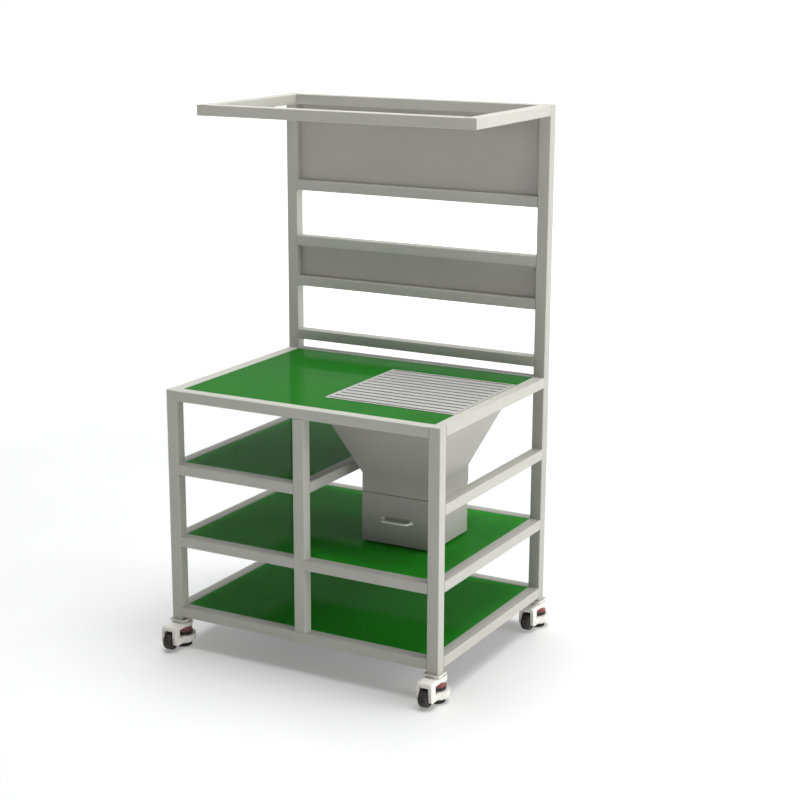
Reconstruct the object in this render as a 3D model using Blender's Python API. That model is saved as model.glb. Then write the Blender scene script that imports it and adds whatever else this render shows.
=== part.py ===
"""Inspection table on levelling casters, with a tool rack, a reject chute and a drawer.

Table frame: X runs from the left leg to the right leg, Y from the front to the back and Z up
from the floor. The model's origin is on the floor, at the middle of the bounding box.
"""
import math

import bmesh
import bpy
from mathutils import Matrix, Vector

# Frame
TABLE_WIDTH = 1.0
TABLE_DEPTH = 0.79
TUBE_SIDE = 0.04
RAIL_HEIGHT = 0.035
TUBE_WALL = 0.002
TUBE_CORNER = 0.003
LEG_DROP = 0.011
SHELF_PITCH = 0.2475
CLEARANCE = 0.0003

# Ledges inside the front and back rails, and the panels that lie on them
LEDGE_WIDTH = 0.012
LEDGE_THICKNESS = 0.003
PANEL_THICKNESS = 0.018
PANEL_DROP = 0.0015

# Rack above the worktop: undersides of the bars above the table frame's top
LOW_BAR_RISE = 0.034
LOWER_PANEL_BAR_RISE = 0.227
LOWER_PANEL_HEIGHT = 0.108
UPPER_PANEL_BAR_RISE = 0.565
UPPER_PANEL_HEIGHT = 0.261
BACK_PANEL_RECESS = 0.022
BACK_PANEL_DEPTH = 0.015
BACK_PANEL_SHEET = 0.0015
OVERHEAD_REACH = 0.538

# Grate and the notch that holds it
GRATE_WIDTH = 0.461
GRATE_DEPTH = 0.452
GRATE_SETBACK = 0.168
GRATE_RIM = 0.01
GRATE_SLOT = 0.008
GRATE_CLEARANCE = 0.001

# Hopper: its mouth reaches past the grate on the left and in front
SHEET = 0.002
MOUTH_LEFT_REACH = 0.023
MOUTH_FRONT_REACH = 0.0075
MOUTH_RIGHT_INSET = 0.012
MOUTH_BACK_INSET = 0.0005
FLANGE_OUT = 0.011
FLANGE_IN = 0.009
DUCT_WIDTH = 0.259
DUCT_DEPTH = 0.255
DUCT_TOP_DROP = 0.262
DUCT_HEIGHT = 0.061
FOLD_RADIUS = 0.003

# Drawer and its case, which slips up into the duct
CASE_OVERLAP = 0.014
CASE_SLIP_GAP = 0.0005
CASE_LIFT = 0.006
DRAWER_FRONT_THICKNESS = 0.016
DRAWER_FRONT_GAP = 0.002
DRAWER_WALL = 0.0015
DRAWER_SIDE_GAP = 0.0015
DRAWER_HEIGHT = 0.13
HANDLE_WIDTH = 0.104
HANDLE_SPLAY = 0.006
HANDLE_STANDOFF = 0.027
HANDLE_RADIUS = 0.004
HANDLE_BEND = 0.011

# Casters: the swivel axis is the middle of the leg
CASTER_HEIGHT = 0.097
SWIVEL_PLATE_WIDTH = 0.056
SWIVEL_PLATE_THICKNESS = 0.004
SWIVEL_PLATE_CORNER = 0.005
RACE_RADIUS = 0.019
RACE_HEIGHT = 0.0067
KINGPIN_RADIUS = 0.005
KINGPIN_CLEARANCE = 0.0004
HOUSING_WIDTH = 0.054
HOUSING_TOP_THICKNESS = 0.014
HOUSING_TOP_RADIUS = 0.0345
HOUSING_CORNER = 0.007
HOUSING_EDGE = 0.003
WHEEL_OFFSET = 0.061
WHEEL_RADIUS = 0.03
WHEEL_LIFT = 0.005
WHEEL_WIDTH = 0.03
WHEEL_DISH = 0.003
WHEEL_DISH_RADIUS = 0.024
WHEEL_SHOULDER = 0.005
WHEEL_SIDE_GAP = 0.001
WHEEL_BACK_GAP = 0.003
AXLE_RADIUS = 0.005
AXLE_CLEARANCE = 0.0003
ARM_HALF_WIDTH = 0.014
SPINDLE_OFFSET = 0.008
SPINDLE_RADIUS = 0.005
SPINDLE_CLEARANCE = 0.0003
CUP_RADIUS = 0.044
CUP_BOTTOM = 0.016
CUP_HEIGHT = 0.026
CUP_CHAMFER = 0.006
THUMBWHEEL_RADIUS = 0.033
THUMBWHEEL_HEIGHT = 0.016
THUMBWHEEL_SCALLOP = 0.0018
THUMBWHEEL_COLLAR_RADIUS = 0.029
THUMBWHEEL_TOP_GAP = 0.0037
PAD_RADIUS = 0.03
PAD_NECK_RADIUS = 0.022
PAD_EDGE = 0.002
PAD_RIM_HEIGHT = 0.007
FOOT_RISE = 0.0051
TOOL_OVERRUN = 0.002

# Counts
GRATE_SLAT_COUNT = 12
CORNER_STEPS = 2
WHEEL_STEPS = 24
ROUND_STEPS = 20
SCALLOP_COUNT = 12
STEPS_PER_SCALLOP = 3
ARM_ARC_STEPS = 6
HANDLE_BEND_STEPS = 5
KEYHOLE_STEPS = 14

LEVELS = ("bottom", "middle", "upper", "top")
HALF = 0.5

# Heights and places that follow from the sizes above
LEVEL_Z = {name: CASTER_HEIGHT + LEG_DROP + count * SHELF_PITCH
           for count, name in enumerate(LEVELS)}
FRAME_TOP = LEVEL_Z["top"] + RAIL_HEIGHT
LOWER_PANEL_Z = FRAME_TOP + LOWER_PANEL_BAR_RISE + RAIL_HEIGHT
UPPER_PANEL_Z = FRAME_TOP + UPPER_PANEL_BAR_RISE + RAIL_HEIGHT
OVERHEAD_Z = UPPER_PANEL_Z + UPPER_PANEL_HEIGHT
RACK_TOP = OVERHEAD_Z + RAIL_HEIGHT
INNER_LEFT = TUBE_SIDE
INNER_RIGHT = TABLE_WIDTH - TUBE_SIDE
INNER_FRONT = TUBE_SIDE
INNER_BACK = TABLE_DEPTH - TUBE_SIDE
MIDDLE_LEFT = (TABLE_WIDTH - TUBE_SIDE) * HALF
MIDDLE_RIGHT = MIDDLE_LEFT + TUBE_SIDE
AXIS_INSET = TUBE_SIDE * HALF

PANEL_TOP_DROP = PANEL_DROP + PANEL_THICKNESS
FLANGE_TOP = FRAME_TOP - PANEL_TOP_DROP - CLEARANCE
FLANGE_UNDERSIDE = FLANGE_TOP - SHEET
GRATE_RIGHT = INNER_RIGHT - GRATE_CLEARANCE
GRATE_LEFT = GRATE_RIGHT - GRATE_WIDTH
GRATE_BACK = GRATE_SETBACK + GRATE_DEPTH
MOUTH_LEFT = GRATE_LEFT - MOUTH_LEFT_REACH
MOUTH_RIGHT = GRATE_RIGHT - MOUTH_RIGHT_INSET
MOUTH_FRONT = GRATE_SETBACK - MOUTH_FRONT_REACH
MOUTH_BACK = GRATE_BACK - MOUTH_BACK_INSET
HOPPER_CENTRE_X = (MOUTH_LEFT + MOUTH_RIGHT) * HALF
HOPPER_CENTRE_Y = (MOUTH_FRONT + MOUTH_BACK) * HALF
DUCT_LEFT = HOPPER_CENTRE_X - DUCT_WIDTH * HALF
DUCT_RIGHT = DUCT_LEFT + DUCT_WIDTH
DUCT_FRONT = HOPPER_CENTRE_Y - DUCT_DEPTH * HALF
DUCT_BACK = DUCT_FRONT + DUCT_DEPTH
DUCT_TOP = FRAME_TOP - DUCT_TOP_DROP
DUCT_BOTTOM = DUCT_TOP - DUCT_HEIGHT
CASE_INSET = SHEET + CASE_SLIP_GAP
CASE_LEFT, CASE_RIGHT = DUCT_LEFT + CASE_INSET, DUCT_RIGHT - CASE_INSET
CASE_BACK = DUCT_BACK - CASE_INSET
CASE_TOP = DUCT_BOTTOM + CASE_OVERLAP
CASE_BOTTOM = LEVEL_Z["middle"] + RAIL_HEIGHT - PANEL_DROP + CASE_LIFT

PLATE_UNDERSIDE = CASTER_HEIGHT - SWIVEL_PLATE_THICKNESS
RACE_UNDERSIDE = PLATE_UNDERSIDE - RACE_HEIGHT
HOUSING_TOP = RACE_UNDERSIDE - CLEARANCE
HOUSING_UNDERSIDE = HOUSING_TOP - HOUSING_TOP_THICKNESS
HOUSING_HALF = HOUSING_WIDTH * HALF
SLOT_HALF = WHEEL_WIDTH * HALF + WHEEL_SIDE_GAP
FLAT_SHARE = math.cos(math.pi / WHEEL_STEPS)
AXLE_HEIGHT = WHEEL_LIFT + WHEEL_RADIUS * FLAT_SHARE
CUP_TOP = CUP_BOTTOM + CUP_HEIGHT

FRONT_REACH = AXIS_INSET - WHEEL_OFFSET - WHEEL_RADIUS * FLAT_SHARE
BACK_REACH = TABLE_DEPTH - AXIS_INSET + SPINDLE_OFFSET + CUP_RADIUS
ORIGIN = Vector((TABLE_WIDTH * HALF, (FRONT_REACH + BACK_REACH) * HALF, 0))


def clear_scene():
    """Remove every object, so that the script can be run again."""
    for item in list(bpy.data.objects):
        bpy.data.objects.remove(item, do_unlink=True)


def make_material(name, colour, roughness, metallic=0.0):
    """A Principled material of one colour."""
    material = bpy.data.materials.new(name)
    material.use_nodes = True
    shader = material.node_tree.nodes["Principled BSDF"]
    shader.inputs["Base Color"].default_value = (*colour, 1.0)
    shader.inputs["Roughness"].default_value = roughness
    shader.inputs["Metallic"].default_value = metallic
    return material


def add_object(name, bm, material, location=(0, 0, 0), parent=None, smooth=False):
    """Link a bmesh as a named object. Without a parent its place is in the table frame."""
    bmesh.ops.recalc_face_normals(bm, faces=bm.faces)
    mesh = bpy.data.meshes.new(name)
    bm.to_mesh(mesh)
    bm.free()
    mesh.materials.append(material)
    if smooth:
        mesh.shade_smooth()
        mesh.set_sharp_from_angle(angle=math.radians(35))
    item = bpy.data.objects.new(name, mesh)
    item.location = Vector(location) - (Vector() if parent else ORIGIN)
    item.parent = parent
    bpy.context.collection.objects.link(item)
    return item


def add_empty(name, location):
    """An empty on a joint's axis, placed in the table frame."""
    empty = bpy.data.objects.new(name, None)
    empty.location = Vector(location) - ORIGIN
    bpy.context.collection.objects.link(empty)
    return empty


def combine(target, tool, operation):
    """Join a helper object to a piece, or cut the piece with it."""
    tool.hide_render = True
    tool.display_type = "WIRE"
    modifier = target.modifiers.new(tool.name, "BOOLEAN")
    modifier.operation = operation
    modifier.solver = "EXACT"
    modifier.object = tool


def bridge(bm, first, second):
    """Quads between two loops of as many vertices."""
    for index, corner in enumerate(first):
        after = (index + 1) % len(first)
        bm.faces.new((corner, first[after], second[after], second[index]))


def fill_ring(bm, outer, inner):
    """Close the flat ring between an outline and the hole in it."""
    if len(outer) == len(inner):
        bridge(bm, outer, inner)
        return
    edges = []
    for loop in (outer, inner):
        for index, corner in enumerate(loop):
            pair = (corner, loop[(index + 1) % len(loop)])
            edges.append(bm.edges.get(pair) or bm.edges.new(pair))
    bmesh.ops.triangle_fill(bm, edges=edges, use_beauty=True)


def rounded_outline(low, high, radii):
    """Counter-clockwise outline of a rectangle whose corners have their own radii.

    The radii start at the low corner and run counter-clockwise.
    """
    corners = ((low[0], low[1]), (high[0], low[1]), (high[0], high[1]), (low[0], high[1]))
    inward = ((1, 1), (-1, 1), (-1, -1), (1, -1))
    points = []
    for turn, (corner, sides, radius) in enumerate(zip(corners, inward, radii)):
        centre = (corner[0] + sides[0] * radius, corner[1] + sides[1] * radius)
        for step in range(CORNER_STEPS + 1):
            angle = math.pi + (turn + step / CORNER_STEPS) * math.pi / 2
            points.append((centre[0] + radius * math.cos(angle),
                           centre[1] + radius * math.sin(angle)))
    return points


def circle(radius, steps, centre=(0, 0)):
    """Points of a circle."""
    turns = [2 * math.pi * step / steps for step in range(steps)]
    return [(centre[0] + radius * math.cos(turn), centre[1] + radius * math.sin(turn))
            for turn in turns]


def add_loft(bm, rings, ring_shaped=False):
    """Skin over rings of as many points. A ring shaped loft returns to its first ring."""
    loops = [[bm.verts.new(point) for point in ring] for ring in rings]
    for first, second in zip(loops, loops[1:]):
        bridge(bm, first, second)
    if ring_shaped:
        bridge(bm, loops[-1], loops[0])
    else:
        bm.faces.new(loops[0])
        bm.faces.new(loops[-1])


def plan(points, height):
    """Points of a plan outline at a height."""
    return [Vector((x, y, height)) for x, y in points]


def add_turned(bm, profile, steps, axis="Z", phase=0.0):
    """Turn a closed profile of (radius, height) pairs around an axis."""
    frame = Matrix.Rotation(math.pi / 2, 4, "Y") if axis == "X" else Matrix.Identity(4)
    rings = []
    for step in range(steps):
        spin = Matrix.Rotation(2 * math.pi * (step + phase) / steps, 4, "Z")
        rings.append([frame @ spin @ Vector((radius, 0, height)) for radius, height in profile])
    add_loft(bm, rings, ring_shaped=True)


def add_cylinder(bm, radius, low, high, steps, centre=(0, 0)):
    """An upright cylinder from one height to another."""
    outline = circle(radius, steps, centre)
    add_loft(bm, [plan(outline, low), plan(outline, high)])


def add_blocks(bm, xs, ys, zs, filled):
    """Closed solid of the grid cells for which filled(i, j, k) is true."""
    corners = {}

    def corner(i, j, k):
        if (i, j, k) not in corners:
            corners[i, j, k] = bm.verts.new((xs[i], ys[j], zs[k]))
        return corners[i, j, k]

    def is_filled(i, j, k):
        inside = 0 <= i < len(xs) - 1 and 0 <= j < len(ys) - 1 and 0 <= k < len(zs) - 1
        return inside and filled(i, j, k)

    for i in range(-1, len(xs) - 1):
        for j in range(-1, len(ys) - 1):
            for k in range(-1, len(zs) - 1):
                here = is_filled(i, j, k)
                if here != is_filled(i + 1, j, k):
                    bm.faces.new([corner(i + 1, j + b, k + c)
                                  for b, c in ((0, 0), (1, 0), (1, 1), (0, 1))])
                if here != is_filled(i, j + 1, k):
                    bm.faces.new([corner(i + a, j + 1, k + c)
                                  for a, c in ((0, 0), (1, 0), (1, 1), (0, 1))])
                if here != is_filled(i, j, k + 1):
                    bm.faces.new([corner(i + a, j + b, k + 1)
                                  for a, b in ((0, 0), (1, 0), (1, 1), (0, 1))])
    bmesh.ops.dissolve_limit(bm, angle_limit=math.radians(1), verts=bm.verts, edges=bm.edges)


def ledge_outline(outline, side, rail_width):
    """Add the panel ledge to the side of a rail's section, as a lip on that face."""
    top = RAIL_HEIGHT - PANEL_TOP_DROP - CLEARANCE
    bottom = top - LEDGE_THICKNESS
    face = rail_width if side > 0 else 0
    tip = face + side * LEDGE_WIDTH
    lip = [(face, bottom), (tip, bottom), (tip, top), (face, top)]
    if side < 0:
        lip.reverse()
    corner_points = CORNER_STEPS + 1
    cut = 2 * corner_points if side > 0 else 4 * corner_points
    return outline[:cut] + lip + outline[cut:]


def add_tube(name, low, high, along, material, closed_end=None, ledge=0):
    """Hollow tube that fills the box from low to high and runs along one axis.

    A cap is welded in its closed end, near or far. A ledge of 1 or -1 puts the lip on that
    side.
    """
    run = "XYZ".index(along)
    across, beside = (run + 1) % 3, (run + 2) % 3
    size = Vector(high) - Vector(low)
    width, height, length = size[across], size[beside], size[run]
    corner_radii = [TUBE_CORNER] * 4
    inner_radii = [max(TUBE_CORNER - TUBE_WALL, TUBE_WALL * HALF)] * 4
    outer = rounded_outline((0, 0), (width, height), corner_radii)
    inner = rounded_outline((TUBE_WALL, TUBE_WALL), (width - TUBE_WALL, height - TUBE_WALL),
                            inner_radii)
    if ledge:
        outer = ledge_outline(outer, ledge, width)

    def place(pair, distance):
        point = Vector()
        point[across], point[beside], point[run] = pair[0], pair[1], distance
        return point

    bm = bmesh.new()
    outer_ends = {"near": 0, "far": length}
    inner_ends = {"near": TUBE_WALL if closed_end == "near" else 0,
                  "far": length - TUBE_WALL if closed_end == "far" else length}
    outers = {end: [bm.verts.new(place(pair, distance)) for pair in outer]
              for end, distance in outer_ends.items()}
    inners = {end: [bm.verts.new(place(pair, distance)) for pair in inner]
              for end, distance in inner_ends.items()}
    bridge(bm, outers["near"], outers["far"])
    bridge(bm, inners["near"], inners["far"])
    for end in outer_ends:
        if end == closed_end:
            bm.faces.new(outers[end])
            bm.faces.new(inners[end])
        else:
            fill_ring(bm, outers[end], inners[end])
    return add_object(name, bm, material, low)


def across_tube(name, left, right, front, bottom, material, ledge=0):
    """A rail along X, between two uprights that it just clears."""
    low = (left + CLEARANCE, front, bottom)
    high = (right - CLEARANCE, front + TUBE_SIDE, bottom + RAIL_HEIGHT)
    return add_tube(name, low, high, "X", material, ledge=ledge)


def depth_tube(name, left, bottom, material):
    """A rail along Y, between a front leg and an upright."""
    low = (left, INNER_FRONT + CLEARANCE, bottom)
    high = (left + TUBE_SIDE, INNER_BACK - CLEARANCE, bottom + RAIL_HEIGHT)
    return add_tube(name, low, high, "Y", material)


def add_swivel_plate(leg, name, axis_x, axis_y, material):
    """Weld the caster's plate and race under a leg, with the kingpin's bore through them."""
    half = SWIVEL_PLATE_WIDTH * HALF
    outline = rounded_outline((-half, -half), (half, half), [SWIVEL_PLATE_CORNER] * 4)
    bm = bmesh.new()
    add_loft(bm, [plan(outline, PLATE_UNDERSIDE), plan(outline, CASTER_HEIGHT)])
    plate = add_object(name + "_plate_tool", bm, material, (axis_x, axis_y, 0))
    combine(leg, plate, "UNION")
    bm = bmesh.new()
    add_cylinder(bm, RACE_RADIUS, RACE_UNDERSIDE, CASTER_HEIGHT - TUBE_WALL, ROUND_STEPS)
    race = add_object(name + "_race_tool", bm, material, (axis_x, axis_y, 0))
    combine(leg, race, "UNION")
    bm = bmesh.new()
    add_cylinder(bm, KINGPIN_RADIUS + KINGPIN_CLEARANCE, RACE_UNDERSIDE - TOOL_OVERRUN,
                 CASTER_HEIGHT + TOOL_OVERRUN, ROUND_STEPS)
    bore = add_object(name + "_bore_tool", bm, material, (axis_x, axis_y, 0))
    combine(leg, bore, "DIFFERENCE")


def build_legs(paint):
    """Four legs on casters and the two middle legs between the rails."""
    weld_depth = SWIVEL_PLATE_THICKNESS * HALF
    legs = (("leg_front_left", 0, 0, FRAME_TOP), ("leg_front_right", INNER_RIGHT, 0, FRAME_TOP),
            ("upright_left", 0, INNER_BACK, RACK_TOP),
            ("upright_right", INNER_RIGHT, INNER_BACK, RACK_TOP))
    for name, left, front, top in legs:
        low = (left, front, CASTER_HEIGHT - weld_depth)
        high = (left + TUBE_SIDE, front + TUBE_SIDE, top)
        leg = add_tube(name, low, high, "Z", paint, closed_end="far")
        add_swivel_plate(leg, name, left + AXIS_INSET, front + AXIS_INSET, paint)
    stubs = (("leg_front_middle", 0, LEVEL_Z["bottom"]), ("leg_back_middle", INNER_BACK,
                                                          LEVEL_Z["middle"]))
    for name, front, rail in stubs:
        low = (MIDDLE_LEFT, front, rail + RAIL_HEIGHT + CLEARANCE)
        high = (MIDDLE_RIGHT, front + TUBE_SIDE, LEVEL_Z["top"] - CLEARANCE)
        add_tube(name, low, high, "Z", paint)


def build_rails(paint):
    """Rails of the four levels. The panels lie on the ledges of the front and back rails."""
    spans = {"full": (INNER_LEFT, INNER_RIGHT), "left": (INNER_LEFT, MIDDLE_LEFT),
             "right": (MIDDLE_RIGHT, INNER_RIGHT)}
    rows = (("top", "front", "full", ""), ("top", "back", "full", ""),
            ("upper", "front", "left", ""), ("upper", "back", "left", ""),
            ("middle", "front", "left", "_left"), ("middle", "front", "right", "_right"),
            ("middle", "back", "full", ""),
            ("bottom", "front", "full", ""), ("bottom", "back", "full", ""))
    for level, side, span, ending in rows:
        front, ledge = (0, 1) if side == "front" else (INNER_BACK, -1)
        left, right = spans[span]
        across_tube(f"rail_{level}_{side}{ending}", left, right, front, LEVEL_Z[level], paint,
                    ledge)
    for level in LEVELS:
        depth_tube(f"rail_{level}_left", 0, LEVEL_Z[level], paint)
        depth_tube(f"rail_{level}_right", INNER_RIGHT, LEVEL_Z[level], paint)
    depth_tube("rail_upper_middle", MIDDLE_LEFT, LEVEL_Z["upper"], paint)


def build_rack(paint, sheet_paint):
    """Crossbars, back panels and the overhead frame."""
    bars = (("crossbar_low", FRAME_TOP + LOW_BAR_RISE),
            ("crossbar_lower", LOWER_PANEL_Z - RAIL_HEIGHT),
            ("crossbar_upper", LOWER_PANEL_Z + LOWER_PANEL_HEIGHT),
            ("crossbar_high", UPPER_PANEL_Z - RAIL_HEIGHT), ("overhead_back", OVERHEAD_Z))
    for name, bottom in bars:
        across_tube(name, INNER_LEFT, INNER_RIGHT, INNER_BACK, bottom, paint)
    overhead_front = INNER_BACK - OVERHEAD_REACH
    for name, left in (("overhead_left", 0), ("overhead_right", INNER_RIGHT)):
        low = (left, overhead_front, OVERHEAD_Z)
        high = (left + TUBE_SIDE, INNER_BACK - CLEARANCE, RACK_TOP)
        add_tube(name, low, high, "Y", paint, closed_end="near")
    across_tube("overhead_front", INNER_LEFT, INNER_RIGHT, overhead_front, OVERHEAD_Z, paint)
    build_back_panel("back_panel_lower", LOWER_PANEL_Z, LOWER_PANEL_HEIGHT, sheet_paint)
    build_back_panel("back_panel_upper", UPPER_PANEL_Z, UPPER_PANEL_HEIGHT, sheet_paint)


def build_back_panel(name, bottom, height, material):
    """A sheet-metal pan between two crossbars: a face with flanges folded back."""
    front = INNER_BACK + BACK_PANEL_RECESS
    left, right = INNER_LEFT + CLEARANCE, INNER_RIGHT - CLEARANCE
    low, high = bottom + CLEARANCE, bottom + height - CLEARANCE
    xs = (left, left + BACK_PANEL_SHEET, right - BACK_PANEL_SHEET, right)
    ys = (front, front + BACK_PANEL_SHEET, front + BACK_PANEL_DEPTH)
    zs = (low, low + BACK_PANEL_SHEET, high - BACK_PANEL_SHEET, high)
    bm = bmesh.new()
    add_blocks(bm, xs, ys, zs, lambda i, j, k: j == 0 or i != 1 or k != 1)
    add_object(name, bm, material)


def build_panels(green):
    """The worktop with its notch, and three shelves."""
    left, right = INNER_LEFT + CLEARANCE, INNER_RIGHT - CLEARANCE
    front, back = INNER_FRONT + CLEARANCE, INNER_BACK - CLEARANCE
    top = FRAME_TOP - PANEL_DROP
    notch_front, notch_back = GRATE_SETBACK - GRATE_CLEARANCE, GRATE_BACK + GRATE_CLEARANCE
    bm = bmesh.new()
    add_blocks(bm, (left, GRATE_LEFT - GRATE_CLEARANCE, right),
               (front, notch_front, notch_back, back), (top - PANEL_THICKNESS, top),
               lambda i, j, k: i == 0 or j != 1)
    add_object("worktop", bm, green)
    shelves = (("shelf_upper", "upper", MIDDLE_LEFT - CLEARANCE), ("shelf_middle", "middle", right),
               ("shelf_bottom", "bottom", right))
    for name, level, shelf_right in shelves:
        top = LEVEL_Z[level] + RAIL_HEIGHT - PANEL_DROP
        bm = bmesh.new()
        add_blocks(bm, (left, shelf_right), (front, back), (top - PANEL_THICKNESS, top),
                   lambda i, j, k: True)
        add_object(name, bm, green)


def build_grate(steel):
    """A flat frame with slats across it, which rests on the hopper's flange."""
    inner_depth = GRATE_DEPTH - 2 * GRATE_RIM
    slat = (inner_depth - (GRATE_SLAT_COUNT + 1) * GRATE_SLOT) / GRATE_SLAT_COUNT
    xs = (0, GRATE_RIM, GRATE_WIDTH - GRATE_RIM, GRATE_WIDTH)
    ys = [0, GRATE_RIM]
    for count in range(GRATE_SLAT_COUNT):
        start = GRATE_RIM + GRATE_SLOT + count * (slat + GRATE_SLOT)
        ys += [start, start + slat]
    ys += [GRATE_DEPTH - GRATE_RIM, GRATE_DEPTH]
    bottom = FLANGE_TOP + CLEARANCE
    bm = bmesh.new()
    add_blocks(bm, xs, ys, (0, FRAME_TOP - bottom), lambda i, j, k: i != 1 or j % 2 == 0)
    add_object("grate", bm, steel, (GRATE_LEFT, GRATE_SETBACK, bottom))


def build_hopper(sheet_paint):
    """Flange, four sloping walls and a duct, folded from sheet."""
    def box_ring(left, right, front, back, height, radius=FOLD_RADIUS):
        return plan(rounded_outline((left, front), (right, back), [radius] * 4), height)

    def sheet_ring(left, right, front, back, height):
        return box_ring(left + SHEET, right - SHEET, front + SHEET, back - SHEET, height,
                        FOLD_RADIUS - SHEET)

    flange = (MOUTH_LEFT - FLANGE_OUT, INNER_RIGHT - CLEARANCE, MOUTH_FRONT - FLANGE_OUT,
              MOUTH_BACK + FLANGE_OUT)
    mouth = (MOUTH_LEFT, MOUTH_RIGHT, MOUTH_FRONT, MOUTH_BACK)
    duct = (DUCT_LEFT, DUCT_RIGHT, DUCT_FRONT, DUCT_BACK)
    ledge = (GRATE_LEFT + FLANGE_IN, MOUTH_RIGHT - FLANGE_IN, GRATE_SETBACK + FLANGE_IN,
             MOUTH_BACK - FLANGE_IN)
    rings = [
        box_ring(*flange, FLANGE_TOP),
        box_ring(*flange, FLANGE_UNDERSIDE),
        box_ring(*mouth, FLANGE_UNDERSIDE),
        box_ring(*duct, DUCT_TOP),
        box_ring(*duct, DUCT_BOTTOM),
        sheet_ring(*duct, DUCT_BOTTOM),
        sheet_ring(*duct, DUCT_TOP),
        sheet_ring(*mouth, FLANGE_UNDERSIDE),
        box_ring(*ledge, FLANGE_UNDERSIDE),
        box_ring(*ledge, FLANGE_TOP),
    ]
    bm = bmesh.new()
    add_loft(bm, rings, ring_shaped=True)
    add_object("hopper", bm, sheet_paint)


def build_drawer(sheet_paint, steel):
    """The case that hangs in the duct, and the drawer in it."""
    case_front = DUCT_FRONT + DRAWER_FRONT_THICKNESS + DRAWER_FRONT_GAP
    xs = (CASE_LEFT, CASE_LEFT + SHEET, CASE_RIGHT - SHEET, CASE_RIGHT)
    ys = (case_front, CASE_BACK - SHEET, CASE_BACK)
    zs = (CASE_BOTTOM, CASE_BOTTOM + SHEET, CASE_TOP)
    bm = bmesh.new()
    add_blocks(bm, xs, ys, zs, lambda i, j, k: k == 0 or i != 1 or j == 1)
    add_object("drawer_case", bm, sheet_paint)

    inset = SHEET + DRAWER_SIDE_GAP
    left, right = CASE_LEFT + inset, CASE_RIGHT - inset
    bottom = CASE_BOTTOM + SHEET + CLEARANCE
    front_back = DUCT_FRONT + DRAWER_FRONT_THICKNESS
    back = CASE_BACK - inset
    front_top = DUCT_BOTTOM - DRAWER_FRONT_GAP
    xs = (DUCT_LEFT, left, left + DRAWER_WALL, right - DRAWER_WALL, right, DUCT_RIGHT)
    ys = (DUCT_FRONT, front_back, front_back + DRAWER_WALL, back - DRAWER_WALL, back)
    zs = (CASE_BOTTOM, bottom, bottom + DRAWER_WALL, bottom + DRAWER_HEIGHT, front_top)

    def filled(i, j, k):
        if j == 0:
            return True
        is_outside = i in (0, 4) or k in (0, 3)
        return not is_outside and (k == 1 or i != 2 or j != 2)

    bm = bmesh.new()
    add_blocks(bm, xs, ys, zs, filled)
    add_object("drawer", bm, sheet_paint)

    build_handle(steel, (CASE_BOTTOM + front_top) * HALF)


def build_handle(steel, height):
    """The drawer's bow handle: a bar on two splayed ends with rounded bends."""
    end = Vector((HANDLE_WIDTH * HALF, -CLEARANCE, 0))
    foot = end - Vector((0, HANDLE_RADIUS, 0))
    corner = Vector((foot.x - HANDLE_SPLAY, -HANDLE_STANDOFF, 0))
    bend_start = corner + (foot - corner).normalized() * HANDLE_BEND
    bend_end = Vector((corner.x - HANDLE_BEND, corner.y, 0))
    right = [end, foot]
    for step in range(HANDLE_BEND_STEPS + 1):
        share = step / HANDLE_BEND_STEPS
        right.append(bend_start.lerp(corner, share).lerp(corner.lerp(bend_end, share), share))
    points = right + [Vector((-point.x, point.y, 0)) for point in reversed(right)]
    curve = bpy.data.curves.new("drawer_handle", "CURVE")
    curve.dimensions = "3D"
    curve.bevel_depth = HANDLE_RADIUS
    curve.bevel_resolution = 2
    curve.use_fill_caps = True
    curve.materials.append(steel)
    spline = curve.splines.new("POLY")
    spline.points.add(len(points) - 1)
    for target, point in zip(spline.points, points):
        target.co = (*point, 1)
    handle = bpy.data.objects.new("drawer_handle", curve)
    handle.location = Vector((HOPPER_CENTRE_X, DUCT_FRONT, height)) - ORIGIN
    bpy.context.collection.objects.link(handle)


def housing_arm(side):
    """One fork arm: a strap down from the housing's top with a round end at the axle."""
    arc = [math.pi + math.pi * step / ARM_ARC_STEPS for step in range(ARM_ARC_STEPS + 1)]
    outline = [(-WHEEL_OFFSET + ARM_HALF_WIDTH * math.cos(angle),
                AXLE_HEIGHT + ARM_HALF_WIDTH * math.sin(angle)) for angle in arc]
    top = HOUSING_UNDERSIDE + HOUSING_EDGE
    outline += [(-WHEEL_OFFSET + ARM_HALF_WIDTH, top), (-WHEEL_OFFSET - ARM_HALF_WIDTH, top)]
    bm = bmesh.new()
    add_loft(bm, [[Vector((side * x, y, z)) for y, z in outline]
                  for x in (SLOT_HALF, HOUSING_HALF)])
    return bm


def keyhole_outline(front, radius, corner, inset=0.0):
    """Plan of the housing: straight beside the wheel and round about the spindle."""
    half = HOUSING_HALF - inset
    radius -= inset
    start = math.acos(half / radius)
    outline = rounded_outline((-half, front + inset), (half, SPINDLE_OFFSET),
                              [corner, corner, 0, 0])[:2 * (CORNER_STEPS + 1)]
    for step in range(KEYHOLE_STEPS + 1):
        angle = -start + (math.pi + 2 * start) * step / KEYHOLE_STEPS
        outline.append((radius * math.cos(angle), SPINDLE_OFFSET + radius * math.sin(angle)))
    return outline


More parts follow.
